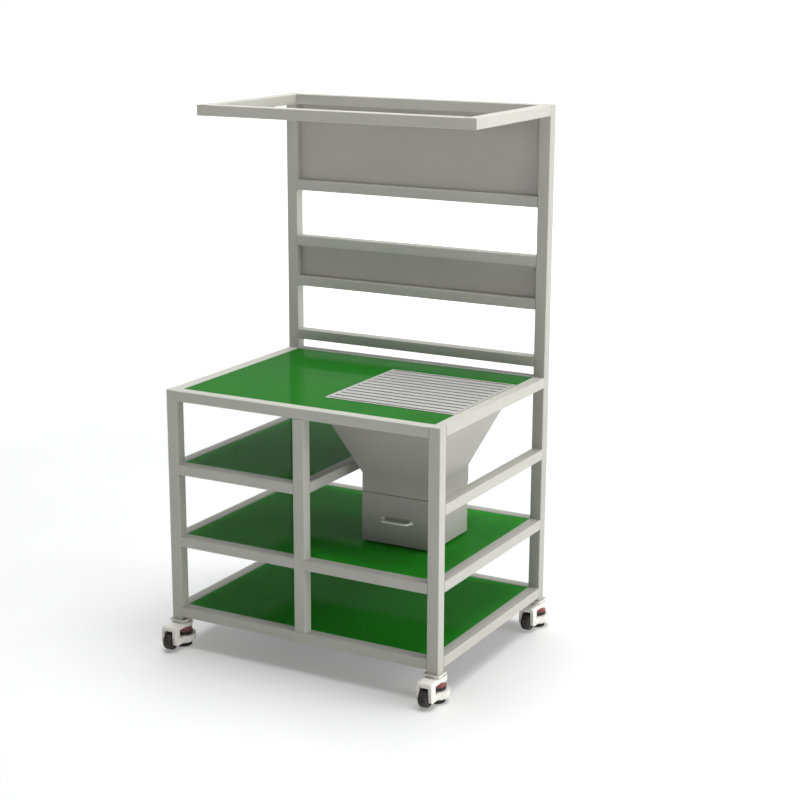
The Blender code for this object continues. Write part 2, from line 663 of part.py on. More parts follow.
def build_housing(name, empty, cast):
    """The cast housing: top, two arms, cup, axle and kingpin, with the spindle's bore."""
    front = -WHEEL_OFFSET - ARM_HALF_WIDTH
    full = keyhole_outline(front, HOUSING_TOP_RADIUS, HOUSING_CORNER)
    small = keyhole_outline(front, HOUSING_TOP_RADIUS, HOUSING_CORNER, HOUSING_EDGE)
    bm = bmesh.new()
    add_loft(bm, [plan(full, HOUSING_UNDERSIDE), plan(full, HOUSING_TOP - HOUSING_EDGE),
                  plan(small, HOUSING_TOP)])
    housing = add_object(name + "_housing", bm, cast, parent=empty, smooth=True)

    cup_front = -WHEEL_OFFSET + ARM_HALF_WIDTH * HALF
    cup_full = keyhole_outline(cup_front, CUP_RADIUS, HOUSING_EDGE)
    cup_small = keyhole_outline(cup_front, CUP_RADIUS, HOUSING_EDGE, CUP_CHAMFER)
    bm = bmesh.new()
    add_loft(bm, [plan(cup_small, CUP_BOTTOM), plan(cup_full, CUP_BOTTOM + CUP_CHAMFER),
                  plan(cup_full, CUP_TOP)])
    joined = [(bm, "cup")]
    joined += [(housing_arm(side), word) for side, word in ((-1, "left_arm"), (1, "right_arm"))]
    bm = bmesh.new()
    add_cylinder(bm, KINGPIN_RADIUS, HOUSING_TOP - HOUSING_EDGE,
                 CASTER_HEIGHT - CLEARANCE, ROUND_STEPS)
    joined.append((bm, "kingpin"))
    for bm, word in joined:
        tool = add_object(f"{name}_{word}_tool", bm, cast, parent=empty, smooth=True)
        combine(housing, tool, "UNION")

    bm = bmesh.new()
    add_blocks(bm, (-SLOT_HALF, SLOT_HALF),
               (front - TOOL_OVERRUN, -WHEEL_OFFSET + WHEEL_RADIUS + WHEEL_BACK_GAP),
               (0, HOUSING_UNDERSIDE), lambda i, j, k: True)
    combine(housing, add_object(name + "_slot_tool", bm, cast, parent=empty), "DIFFERENCE")
    bm = bmesh.new()
    add_cylinder(bm, SPINDLE_RADIUS + SPINDLE_CLEARANCE, 0, CUP_TOP + TOOL_OVERRUN, ROUND_STEPS,
                 (0, SPINDLE_OFFSET))
    combine(housing, add_object(name + "_spindle_tool", bm, cast, parent=empty), "DIFFERENCE")

    outline = circle(AXLE_RADIUS, ROUND_STEPS, (-WHEEL_OFFSET, AXLE_HEIGHT))
    end = SLOT_HALF + WHEEL_SIDE_GAP
    bm = bmesh.new()
    add_loft(bm, [[Vector((x, y, z)) for y, z in outline] for x in (-end, end)])
    combine(housing, add_object(name + "_axle_tool", bm, cast, parent=empty, smooth=True),
            "UNION")


def build_wheel(name, empty, rubber):
    """A solid wheel with dished sides and a crowned tread, turned about its axle."""
    half = WHEEL_WIDTH * HALF
    bore = AXLE_RADIUS + AXLE_CLEARANCE
    rim = WHEEL_DISH_RADIUS + WHEEL_DISH * HALF
    side = [(bore, -half + WHEEL_DISH), (WHEEL_DISH_RADIUS, -half + WHEEL_DISH), (rim, -half),
            (WHEEL_RADIUS - WHEEL_SHOULDER, -half), (WHEEL_RADIUS, -half + WHEEL_SHOULDER)]
    profile = side + [(radius, -height) for radius, height in reversed(side)]
    bm = bmesh.new()
    add_turned(bm, profile, WHEEL_STEPS, axis="X", phase=HALF)
    add_object(name + "_wheel", bm, rubber, (0, -WHEEL_OFFSET, AXLE_HEIGHT), empty, smooth=True)


def build_thumbwheel(name, empty, plastic):
    """The nut of the spindle: a scalloped grip with a round collar on top."""
    points = SCALLOP_COUNT * STEPS_PER_SCALLOP

    def ring(radius, depth, height):
        rows = []
        for point in range(points):
            turn = 2 * math.pi * point / points
            hollow = depth * HALF * (1 - math.cos(turn * SCALLOP_COUNT))
            rows.append(Vector(((radius - hollow) * math.cos(turn),
                                (radius - hollow) * math.sin(turn), height)))
        return rows

    top = HOUSING_UNDERSIDE - THUMBWHEEL_TOP_GAP - CUP_TOP - CLEARANCE
    bore = SPINDLE_RADIUS + SPINDLE_CLEARANCE
    rings = [ring(THUMBWHEEL_RADIUS, THUMBWHEEL_SCALLOP, 0),
             ring(THUMBWHEEL_RADIUS, THUMBWHEEL_SCALLOP, THUMBWHEEL_HEIGHT),
             ring(THUMBWHEEL_COLLAR_RADIUS, 0, THUMBWHEEL_HEIGHT),
             ring(THUMBWHEEL_COLLAR_RADIUS, 0, top), ring(bore, 0, top), ring(bore, 0, 0)]
    bm = bmesh.new()
    add_loft(bm, rings, ring_shaped=True)
    add_object(name + "_thumbwheel", bm, plastic, (0, SPINDLE_OFFSET, CUP_TOP + CLEARANCE),
               empty, smooth=True)


def build_foot(name, empty, rubber):
    """A rubber pad on the spindle that runs up through the cup and the thumbwheel."""
    pad_top = CUP_BOTTOM - CLEARANCE - FOOT_RISE
    spindle_top = HOUSING_UNDERSIDE - CLEARANCE - FOOT_RISE
    levels = ((PAD_RADIUS - PAD_EDGE, 0), (PAD_RADIUS, PAD_EDGE),
              (PAD_RADIUS, PAD_RIM_HEIGHT), (PAD_NECK_RADIUS, pad_top),
              (SPINDLE_RADIUS, pad_top), (SPINDLE_RADIUS, spindle_top))
    bm = bmesh.new()
    add_loft(bm, [plan(circle(radius, ROUND_STEPS), height) for radius, height in levels])
    add_object(name + "_foot", bm, rubber, (0, SPINDLE_OFFSET, 0), empty, smooth=True)


def build_casters(cast, rubber, plastic):
    """Four casters, all with the wheel towards the front as in the photograph."""
    for side, axis_x in (("left", AXIS_INSET), ("right", TABLE_WIDTH - AXIS_INSET)):
        for end, axis_y in (("front", AXIS_INSET), ("back", TABLE_DEPTH - AXIS_INSET)):
            name = f"caster_{end}_{side}"
            empty = add_empty(name + "_swivel", (axis_x, axis_y, 0))
            build_housing(name, empty, cast)
            build_wheel(name, empty, rubber)
            build_thumbwheel(name, empty, plastic)
            build_foot(name, empty, rubber)


def main():
    """Build every piece of the table."""
    clear_scene()
    paint = make_material("frame_paint", (0.66, 0.66, 0.61), 0.45)
    sheet_paint = make_material("sheet_paint", (0.34, 0.34, 0.32), 0.5)
    green = make_material("green_laminate", (0.02, 0.2, 0.02), 0.2)
    grate_steel = make_material("grate_steel", (0.5, 0.5, 0.48), 0.4, 0.3)
    steel = make_material("handle_steel", (0.75, 0.75, 0.75), 0.25, 1.0)
    cast = make_material("cast_aluminium", (0.8, 0.78, 0.7), 0.45)
    rubber = make_material("black_rubber", (0.03, 0.03, 0.03), 0.6)
    plastic = make_material("thumbwheel_plastic", (0.35, 0.05, 0.05), 0.4)
    build_legs(paint)
    build_rails(paint)
    build_rack(paint, sheet_paint)
    build_panels(green)
    build_grate(grate_steel)
    build_hopper(sheet_paint)
    build_drawer(sheet_paint, steel)
    build_casters(cast, rubber, plastic)


main()
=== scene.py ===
"""Looks of the inspection table: finishes, welds, fixings, casters, floor, light and camera.

Everything is in metres, in the frame of the solids: X to the right, Y to the back, and Z up
from the floor.
"""
import math

import bmesh
import bpy
from mathutils import Matrix, Vector


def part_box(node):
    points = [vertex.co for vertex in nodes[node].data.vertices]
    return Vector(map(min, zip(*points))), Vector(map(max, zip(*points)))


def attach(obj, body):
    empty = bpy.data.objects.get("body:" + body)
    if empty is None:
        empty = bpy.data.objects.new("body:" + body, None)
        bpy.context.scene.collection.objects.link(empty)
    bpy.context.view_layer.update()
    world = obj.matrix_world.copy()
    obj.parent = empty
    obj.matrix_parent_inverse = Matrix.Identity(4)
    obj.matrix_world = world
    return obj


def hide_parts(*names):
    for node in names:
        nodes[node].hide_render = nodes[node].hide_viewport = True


MM = 0.001

# Camera, fitted to the straight edges of the photograph
CAMERA_PLACE = Vector((2.8338, -4.91464, 2.2497))
CAMERA_TARGET = Vector((0.52938, -0.85107, 0.997))
CAMERA_LENS = 79.98
CAMERA_SHIFT = 0.0375
CAMERA_SENSOR = 36
CAMERA_REACH = 200

# Floor: half its side, its two shades, its glow under the object, and the distances from the
# middle between which the glow grows to full white
FLOOR_HALF = 30
FLOOR_CELLS = 8
FLOOR_SHADES = ((0.575, 0.575, 0.58), (0.595, 0.595, 0.597))
FLOOR_GLOW = 0.2
FLOOR_FADE_START = 1.9
FLOOR_FADE_END = 8.0

# Surround: the rise above the horizon at which its white starts to fade, and for the back and
# the front the rise at which the fade ends and the strength from there on
WORLD_FADE_START = 0.02
WORLD_FADE_END = 0.55
WORLD_OVERHEAD = 0.3
FRONT_FADE_END = 0.15
FRONT_OVERHEAD = 0.03
# Where along Y the front's values start to turn into the back's, and where they have
BLEND_START = -0.6
BLEND_END = 0.1

# Lights, all of which look at one point: name, place, width, height and power
LIGHT_TARGET = (0, 0, 0.8)
LIGHTS = (
    ("key_right", (6.2, 0.9, 1.9), 6.0, 3.4, 275),
    ("top", (0.3, 0.6, 7.5), 6.0, 5.0, 760),
    ("fill_left", (-6.0, 1.0, 3.0), 5.0, 4.0, 12),
)

# Shading: an edge sharper than these angles is rounded, stays sharp on a solid, and on a piece
BEVEL_ANGLE = math.radians(55)
SMOOTH_ANGLE = math.radians(50)
SHARP_ANGLE = math.radians(38)
# Points of a solid that are closer than this are one
MERGE_DISTANCE = 0.01 * MM
# The most of a side that a rounded corner takes: one part in so many
CORNER_PART = 2.2
# Rounding of the drawer's edges and of the green panels' edges
SHEET_EDGE = 0.6 * MM
PANEL_EDGE = 0.4 * MM
EDGE_SEGMENTS = 2

# A face whose normal has a Z under this looks down
FACES_DOWN = -0.5

# Sockets of a Mix node that mixes colours
MIX_FACTOR, MIX_FIRST, MIX_SECOND, MIX_RESULT = 0, 6, 7, 2

# Colours of the finishes. The rack's uprights and crossbars are a tenth darker than the frame: a
# painted shade for the dimmer light on the rack.
FRAME_SHADE = (0.432, 0.432, 0.39)
RACK_PAINTED_SHADE = (0.385, 0.385, 0.348)
IVORY_SHADE = (0.78, 0.77, 0.71)
# The sheet paint is its own tone made about a fifth darker, partly a painted shade for the hopper's
# front under the worktop
SHEET_TONE_AND_PAINTED_SHADE = (0.345, 0.335, 0.31)
GRATE_SHADE = (0.37, 0.37, 0.355)
WORKTOP_GREEN = (0.0115, 0.128, 0.01)
# The shelves' green is the worktop's laminate made lighter, as painted light on the shelves under the
# worktop
SHELF_GREEN_PAINTED_LIGHT = (0.021, 0.28, 0.018)
BACKING = (0.2, 0.2, 0.2)
HANDLE_SHADE = (0.9, 0.9, 0.88)
ZINC_SHADE = (0.55, 0.56, 0.57)
RUBBER_SHADE, RUBBER_DUST = (0.016, 0.016, 0.015), (0.05, 0.048, 0.044)
TREAD_SHADE, TREAD_DUST = (0.03, 0.03, 0.028), (0.075, 0.072, 0.066)
RED_SHADE = (0.3, 0.085, 0.08)
BLACK_SHADE = (0.02, 0.02, 0.02)

# Frame tube and the welds on it
TUBE_SIDE = 40 * MM
TUBE_CORNER = 3 * MM
SEAM_RADIUS = 0.55 * MM
SEAM_DEPTH = 0.35 * MM
SEAM_SPOKES = 6
CORNER_STEPS = 4
BEAD_RADIUS = 1.9 * MM
BEAD_STEP = 1.1 * MM
BEAD_SPOKES = 10
BEAD_LEAST_STEPS = 6
RIPPLE_PITCH = 3.2 * MM
RIPPLE_SHARE = 0.16
BEAD_END_SHARE = 0.2
JOINT_GAP = 0.3 * MM

# Fixings
RIVET_RADIUS = 2.4 * MM
RIVET_HEIGHT = 0.9 * MM
RIVET_INSET = 28 * MM
RIVET_DROP = 7 * MM
RIVET_OUT = 2.5 * MM
SCREW_INSET = 14 * MM
SCREW_RADIUS = 1.3 * RIVET_RADIUS
SCREW_HEIGHT = 1.6 * RIVET_HEIGHT
ROD_RADIUS = 4 * MM
# A domed head, as shares of its radius and of its height
DOME = ((1, 0), (0.97, 0.35), (0.8, 0.75), (0.45, 1), (0.1, 1.05))
DOME_STEPS = 32
# A rosette, in millimetres: radius and height of each corner
ROSETTE = ((4.3, 0), (7.5, 0), (6.9, 1.1), (5.6, 2), (4.3, 2))
ROSETTE_ROUNDING = 0.4 * MM
ROSETTE_STEPS = 64

# Casters. The profiles are in millimetres: radius and height of each corner, but for the tyre
# and the core, whose heights are insets from the side of the wheel, and for the tread, whose
# radii are drops from the wheel's radius
TYRE_BORE = ((20, 0.9), (21, 0))
TREAD = ((4.6, 0), (1.6, 2.2), (0.3, 6), (0, 11))
CORE = ((5.4, 0.8), (9.5, 0.8), (10.5, 3.4), (17.5, 3.4), (18.6, 1.3), (20, 1.3))
BOLT_HEAD = ((5.4, 0), (5.4, 0.7), (4.6, 1.5), (2.9, 2), (2.7, 1.9), (2.6, 0.9))
BOLT_STEPS = 48
WHEEL_STEPS = 96
WHEEL_ROUNDING = 0.6 * MM
KNOB_STEPS = 144
GRIP_ROUNDING = 1.4 * MM
COLLAR_ROUNDING = 0.8 * MM
SCALLOP_COUNT = 12
SCALLOP_DEPTH = 1.8 * MM
GRIP_HEIGHT = 16 * MM
BLACK_HEIGHT = 12 * MM
COLLAR_RADIUS = 29 * MM
COLLAR_STEP = 0.6 * MM
GROOVE_DEPTH = 0.7 * MM
GROOVE_HALF = 0.2 * MM
BORE_RADIUS = 5.4 * MM
SPINDLE_RADIUS = 5 * MM
THREAD_PITCH = 2 * MM
THREAD_DEPTH = 0.7 * MM
THREAD_FLANKS = (0.15, 0.5, 0.85)
THREAD_STEPS = 32
SPINDLE_CHAMFER = 0.8 * MM
PAD_RIM = 7 * MM
# The pad's edge, in millimetres: drop from its radius, and height. Its cone: radius and height
PAD_EDGE = ((2, 0), (0.5, 0.6), (0, 2), (0, 3), (0.6, 3.5), (0, 4), (0, 6), (1, 7))
PAD_CONE = ((22, 10.5), (8, 10.6))
RACE_RADIUS = 19.2 * MM
RACE_COVER_RADIUS = 25 * MM
RACE_COVER_EDGE = 2.6 * MM
RACE_COVER_SLOPE = 2 * MM
RACE_ROUNDING = 0.7 * MM
ARM_REACH = 27 * MM
RACE_BOTTOM = 86 * MM
RACE_TOP = 93 * MM
# The leg that stands on each caster
LEGS = {
    "front_left": "leg_front_left",
    "front_right": "leg_front_right",
    "back_left": "upright_left",
    "back_right": "upright_right",
}

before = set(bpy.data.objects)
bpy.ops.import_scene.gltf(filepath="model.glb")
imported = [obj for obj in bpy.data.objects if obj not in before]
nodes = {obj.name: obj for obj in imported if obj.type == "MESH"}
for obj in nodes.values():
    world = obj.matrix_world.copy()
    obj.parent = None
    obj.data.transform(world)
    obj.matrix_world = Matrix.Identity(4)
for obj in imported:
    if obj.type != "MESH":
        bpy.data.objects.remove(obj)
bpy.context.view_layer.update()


def box(name):
    """Lowest and highest corner of a CAD node, as vectors."""
    low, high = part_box(name)
    return Vector(low), Vector(high)


def centre(name):
    """Middle of a CAD node's box."""
    low, high = box(name)
    return (low + high) / 2


# Materials

class Surface:
    """A Principled material and the nodes that give it colour variation, grain and bump."""

    def __init__(self, name, roughness, metallic=0.0):
        self.material = bpy.data.materials.new(name)
        self.material.use_nodes = True
        self.tree = self.material.node_tree
        self.shader = self.tree.nodes["Principled BSDF"]
        self.shader.inputs["Roughness"].default_value = roughness
        self.shader.inputs["Metallic"].default_value = metallic
        self.coordinates = self.tree.nodes.new("ShaderNodeTexCoord")

    def link(self, source, target):
        """Join an output to an input."""
        self.tree.links.new(source, target)

    def noise(self, scale, detail, stretch=(1, 1, 1)):
        """Noise over the object's own coordinates."""
        mapping = self.tree.nodes.new("ShaderNodeMapping")
        mapping.inputs["Scale"].default_value = stretch
        texture = self.tree.nodes.new("ShaderNodeTexNoise")
        texture.inputs["Scale"].default_value = scale
        texture.inputs["Detail"].default_value = detail
        self.link(self.coordinates.outputs["Object"], mapping.inputs["Vector"])
        self.link(mapping.outputs["Vector"], texture.inputs["Vector"])
        return texture.outputs["Fac"]

    def colours(self, factor, first, second, low=0.3, high=0.7):
        """Colour between two shades, on the base colour."""
        ramp = self.tree.nodes.new("ShaderNodeValToRGB")
        ramp.color_ramp.elements[0].position = low
        ramp.color_ramp.elements[1].position = high
        ramp.color_ramp.elements[0].color = (*first, 1)
        ramp.color_ramp.elements[1].color = (*second, 1)
        self.link(factor, ramp.inputs["Fac"])
        self.link(ramp.outputs["Color"], self.shader.inputs["Base Color"])

    def roughness(self, factor, low, high):
        """Roughness that follows a noise."""
        span = self.tree.nodes.new("ShaderNodeMapRange")
        span.inputs["To Min"].default_value = low
        span.inputs["To Max"].default_value = high
        self.link(factor, span.inputs["Value"])
        self.link(span.outputs["Result"], self.shader.inputs["Roughness"])

    def bump(self, factor, depth, strength):
        """Relief that follows a noise, added to the relief already there."""
        bump = self.tree.nodes.new("ShaderNodeBump")
        bump.inputs["Distance"].default_value = depth
        bump.inputs["Strength"].default_value = strength
        normal = self.shader.inputs["Normal"]
        if normal.is_linked:
            self.link(normal.links[0].from_socket, bump.inputs["Normal"])
        self.link(factor, bump.inputs["Height"])
        self.link(bump.outputs["Normal"], normal)

    def step(self, vector, limit):
        """One where the Z of a vector is under a limit, and zero above it."""
        split = self.tree.nodes.new("ShaderNodeSeparateXYZ")
        under = self.tree.nodes.new("ShaderNodeMath")
        under.operation = "LESS_THAN"
        under.inputs[1].default_value = limit
        self.link(vector, split.inputs["Vector"])
        self.link(split.outputs["Z"], under.inputs[0])
        return under.outputs[0]

    def second_colour(self, mask, colour):
        """Another colour where a mask is one."""
        base = self.shader.inputs["Base Color"]
        mix = self.tree.nodes.new("ShaderNodeMix")
        mix.data_type = "RGBA"
        mix.inputs[MIX_SECOND].default_value = (*colour, 1)
        self.link(mask, mix.inputs[MIX_FACTOR])
        self.link(base.links[0].from_socket, mix.inputs[MIX_FIRST])
        self.link(mix.outputs[MIX_RESULT], base)


def shade(colour, share):
    """A colour made lighter or darker."""
    return tuple(min(1.0, channel * share) for channel in colour)


def powder_coat(name, colour, roughness, mottle=0.035, plate=None):
    """Baked powder paint: faint clouds of tone and a fine orange peel.

    A plate is a height and the colour of what lies under it.
    """
    surface = Surface(name, roughness)
    clouds = surface.noise(scale=5, detail=4)
    surface.colours(clouds, shade(colour, 1 - mottle), shade(colour, 1 + mottle))
    surface.roughness(surface.noise(scale=22, detail=5), roughness - 0.06, roughness + 0.08)
    surface.bump(surface.noise(scale=620, detail=2), depth=0.05 * MM, strength=0.35)
    if plate:
        height, under = plate
        place = surface.coordinates.outputs["Object"]
        surface.second_colour(surface.step(place, height), under)
    return surface.material


def laminate(name, colour, gloss):
    """Smooth laminate with a soft sheen and the faintest waviness, on a grey backing sheet."""
    surface = Surface(name, roughness=0.3)
    surface.colours(surface.noise(scale=9, detail=5), shade(colour, 0.95), shade(colour, 1.06))
    surface.roughness(surface.noise(scale=40, detail=6, stretch=(1, 6, 1)), 0.04, 0.08)
    surface.bump(surface.noise(scale=7, detail=1), depth=0.12 * MM, strength=0.15)
    surface.shader.inputs["Specular IOR Level"].default_value = gloss
    geometry = surface.tree.nodes.new("ShaderNodeNewGeometry")
    surface.second_colour(surface.step(geometry.outputs["True Normal"], FACES_DOWN), BACKING)
    return surface.material


def brushed_steel(name, colour, roughness, stretch, metallic=1.0):
    """Steel with fine lines along one axis."""
    surface = Surface(name, roughness, metallic)
    lines = surface.noise(scale=60, detail=6, stretch=stretch)
    surface.colours(lines, shade(colour, 0.88), shade(colour, 1.08))
    surface.roughness(lines, roughness - 0.07, roughness + 0.1)
    surface.bump(lines, depth=0.02 * MM, strength=0.4)
    return surface.material


def black_rubber(name, colour, dust):
    """Moulded rubber with a fine grain and dust in it."""
    surface = Surface(name, roughness=0.62)
    surface.colours(surface.noise(scale=70, detail=6), colour, dust, low=0.42, high=0.8)
    surface.roughness(surface.noise(scale=120, detail=3), 0.55, 0.78)
    surface.bump(surface.noise(scale=900, detail=3), depth=0.08 * MM, strength=0.5)
    surface.shader.inputs["Specular IOR Level"].default_value = 0.35
    return surface.material


def moulded_plastic(name, colour, roughness=0.4):
    """Moulded plastic with a spark-eroded grain."""
    surface = Surface(name, roughness)
    surface.colours(surface.noise(scale=30, detail=4), shade(colour, 0.92), shade(colour, 1.08))
    surface.roughness(surface.noise(scale=200, detail=3), roughness - 0.06, roughness + 0.1)
    surface.bump(surface.noise(scale=1500, detail=2), depth=0.03 * MM, strength=0.4)
    return surface.material


def pale_floor(name):
    """A plain pale floor that brightens into a white surround away from the object."""
    surface = Surface(name, roughness=0.5)
    surface.colours(surface.noise(scale=1.5, detail=3), *FLOOR_SHADES)
    surface.roughness(surface.noise(scale=3, detail=4), 0.44, 0.54)
    surface.shader.inputs["Specular IOR Level"].default_value = 0.2
    distance = surface.tree.nodes.new("ShaderNodeVectorMath")
    distance.operation = "LENGTH"
    surface.link(surface.coordinates.outputs["Object"], distance.inputs[0])
    fade = surface.tree.nodes.new("ShaderNodeMapRange")
    fade.interpolation_type = "SMOOTHSTEP"
    fade.inputs["From Min"].default_value = FLOOR_FADE_START
    fade.inputs["From Max"].default_value = FLOOR_FADE_END
    fade.inputs["To Min"].default_value = FLOOR_GLOW
    surface.link(distance.outputs["Value"], fade.inputs["Value"])
    surface.link(fade.outputs["Result"], surface.shader.inputs["Emission Strength"])
    surface.shader.inputs["Emission Color"].default_value = (1.0, 1.0, 1.0, 1.0)
    return surface.material


def surround(world):
    """White at the horizon and dimmer overhead, sooner and darker in front than behind."""
    world.use_nodes = True
    tree = world.node_tree
    direction = tree.nodes.new("ShaderNodeTexCoord")
    split = tree.nodes.new("ShaderNodeSeparateXYZ")
    tree.links.new(direction.outputs["Generated"], split.inputs["Vector"])

    def from_front_to_back(front, back):
        """A value that turns from the front's into the back's."""
        blend = tree.nodes.new("ShaderNodeMapRange")
        blend.interpolation_type = "SMOOTHSTEP"
        blend.inputs["From Min"].default_value = BLEND_START
        blend.inputs["From Max"].default_value = BLEND_END
        blend.inputs["To Min"].default_value = front
        blend.inputs["To Max"].default_value = back
        tree.links.new(split.outputs["Y"], blend.inputs["Value"])
        return blend.outputs["Result"]

    fade = tree.nodes.new("ShaderNodeMapRange")
    fade.interpolation_type = "SMOOTHSTEP"
    fade.inputs["From Min"].default_value = WORLD_FADE_START
    fade.inputs["To Min"].default_value = 1.0
    shader = tree.nodes["Background"]
    tree.links.new(split.outputs["Z"], fade.inputs["Value"])
    tree.links.new(from_front_to_back(FRONT_FADE_END, WORLD_FADE_END), fade.inputs["From Max"])
    tree.links.new(from_front_to_back(FRONT_OVERHEAD, WORLD_OVERHEAD), fade.inputs["To Max"])
    tree.links.new(fade.outputs["Result"], shader.inputs["Strength"])
    shader.inputs["Color"].default_value = (1.0, 1.0, 1.0, 1.0)


PLATE_TOP = box("caster_front_left_housing")[1].z + JOINT_GAP

PAINT = powder_coat("frame_powder_coat", FRAME_SHADE, roughness=0.42)
PLATE = (PLATE_TOP, IVORY_SHADE)
LEG_PAINT = powder_coat("leg_powder_coat", FRAME_SHADE, roughness=0.42, plate=PLATE)
# The rack paint is the frame paint a tenth darker, a painted shade
RACK_PAINT_PAINTED_SHADE = powder_coat("rack_powder_coat_painted_shade", RACK_PAINTED_SHADE, roughness=0.42, plate=PLATE)
# The sheet paint holds a painted shade: it is about a fifth darker than its own tone
SHEET_PAINT_AND_PAINTED_SHADE = powder_coat("sheet_powder_coat_and_painted_shade", SHEET_TONE_AND_PAINTED_SHADE, roughness=0.36)
WORKTOP_LAMINATE = laminate("green_laminate", WORKTOP_GREEN, gloss=0.006)
# The shelves' laminate is the worktop's made lighter, a painted light
SHELF_LAMINATE_PAINTED_LIGHT = laminate("shelf_laminate_painted_light", SHELF_GREEN_PAINTED_LIGHT, gloss=0.012)
GRATE_PAINT = powder_coat("grate_paint", GRATE_SHADE, roughness=0.4)
HANDLE_STEEL = brushed_steel("handle_steel", HANDLE_SHADE, roughness=0.45, stretch=(1, 12, 12),
                             metallic=0.4)
ZINC = brushed_steel("zinc_plate", ZINC_SHADE, roughness=0.36, stretch=(6, 6, 1))
IVORY = powder_coat("caster_paint", IVORY_SHADE, roughness=0.34, mottle=0.02)
RUBBER = black_rubber("black_rubber", RUBBER_SHADE, RUBBER_DUST)
TREAD_RUBBER = black_rubber("tread_rubber", TREAD_SHADE, TREAD_DUST)
RED = moulded_plastic("red_plastic", RED_SHADE)
BLACK_PLASTIC = moulded_plastic("black_plastic", BLACK_SHADE, roughness=0.45)


# Mesh helpers

def smooth_group():
    """Geometry nodes that shade a mesh smooth, save for edges sharper than an angle."""
    group = bpy.data.node_groups.new("smooth_by_angle", "GeometryNodeTree")
    group.interface.new_socket("Geometry", in_out="INPUT", socket_type="NodeSocketGeometry")
    group.interface.new_socket("Geometry", in_out="OUTPUT", socket_type="NodeSocketGeometry")
    start = group.nodes.new("NodeGroupInput")
    end = group.nodes.new("NodeGroupOutput")
    faces = group.nodes.new("GeometryNodeSetShadeSmooth")
    faces.domain = "FACE"
    edges = group.nodes.new("GeometryNodeSetShadeSmooth")
    edges.domain = "EDGE"
    angle = group.nodes.new("GeometryNodeInputMeshEdgeAngle")
    compare = group.nodes.new("FunctionNodeCompare")
    compare.operation = "GREATER_THAN"
    compare.inputs["B"].default_value = SMOOTH_ANGLE
    edges.inputs["Shade Smooth"].default_value = False
    link = group.links.new
    link(start.outputs[0], faces.inputs["Geometry"])
    link(faces.outputs[0], edges.inputs["Geometry"])
    link(angle.outputs["Unsigned Angle"], compare.inputs["A"])
    link(compare.outputs[0], edges.inputs["Selection"])
    link(edges.outputs[0], end.inputs[0])
    return group


SMOOTH = smooth_group()


def dress(name, material, edge=0.0):
    """Give a CAD node its finish and smooth shading, and, given an edge, round its sharp edges in the
    picture only.
    """
    item = nodes[name]
    item.data.materials.clear()
    item.data.materials.append(material)
    weld = item.modifiers.new("weld", "WELD")
    weld.merge_threshold = MERGE_DISTANCE
    if edge:
        bevel = item.modifiers.new("edge", "BEVEL")
        bevel.width = edge
        bevel.segments = EDGE_SEGMENTS
        bevel.limit_method = "ANGLE"
        bevel.angle_limit = BEVEL_ANGLE
        bevel.use_clamp_overlap = True
    smooth = item.modifiers.new("smooth", "NODES")
    smooth.node_group = SMOOTH
    weighted = item.modifiers.new("weighted", "WEIGHTED_NORMAL")
    weighted.keep_sharp = True


def add_piece(name, bm, material, body):
    """Link a bmesh as a piece that rides on a body."""
    bmesh.ops.recalc_face_normals(bm, faces=bm.faces)
    mesh = bpy.data.meshes.new(name)
    bm.to_mesh(mesh)
    bm.free()
    mesh.materials.append(material)
    mesh.shade_smooth()
    mesh.set_sharp_from_angle(angle=SHARP_ANGLE)
    item = bpy.data.objects.new(name, mesh)
    bpy.context.collection.objects.link(item)
    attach(item, body)
    return item


def add_loft(bm, rings, closed=False):
    """Skin over rings of as many points. A closed loft returns to its first ring."""
    loops = [[bm.verts.new(point) for point in ring] for ring in rings]
    pairs = list(zip(loops, loops[1:]))
    if closed:
        pairs.append((loops[-1], loops[0]))
    for first, second in pairs:
        for index in range(len(first)):
            after = (index + 1) % len(first)
            bm.faces.new((first[index], first[after], second[after], second[index]))
    if not closed:
        bm.faces.new(loops[0])
        bm.faces.new(loops[-1])


def in_metres(profile):
    """A profile of (radius, height) pairs, turned from millimetres into metres."""
    return [(radius * MM, height * MM) for radius, height in profile]


def facing(place, direction):
    """Frame at a place whose Z looks in a direction."""
    turn = Vector(direction).to_track_quat("Z", "Y").to_matrix().to_4x4()
    return Matrix.Translation(place) @ turn


def add_turned(bm, profile, steps, where, hollow=False, reach=None):
    """Turn a profile of (radius, height) pairs about the Z of a frame.

    A hollow profile is a closed loop round a bore. The reach gives what is added to the radius
    at each turn, for scallops.
    """
    rings = []
    for radius, height in profile:
        ring = []
        for step in range(steps):
            turn = 2 * math.pi * step / steps
            grown = radius + (reach(turn, radius) if reach else 0)
            ring.append(where @ Vector((grown * math.cos(turn), grown * math.sin(turn), height)))
        rings.append(ring)
    add_loft(bm, rings, closed=hollow)


def rounded(profile, radius, steps=4):
    """A closed profile with its corners rounded."""
    points = []
    for index, corner in enumerate(profile):
        here = Vector(corner)
        before = Vector(profile[index - 1])
        after = Vector(profile[(index + 1) % len(profile)])
        shorter = min((before - here).length, (after - here).length)
        cut = min(radius, shorter / CORNER_PART)
        start = here + (before - here).normalized() * cut
        end = here + (after - here).normalized() * cut
        for step in range(steps + 1):
            share = step / steps
            points.append(tuple(start.lerp(here, share).lerp(here.lerp(end, share), share)))
    return points


# Welds

def tube_section(name):
    """Lowest and highest corner of a frame tube and its long axis. A ledge on it is left out."""
    low, high = box(name)
    size = high - low
    axis = max(range(3), key=lambda index: size[index])
    if axis == 0 and size.y > TUBE_SIDE + MM:
        if name.endswith("back"):
            low.y = high.y - TUBE_SIDE
        else:
            high.y = low.y + TUBE_SIDE
    return low, high, axis


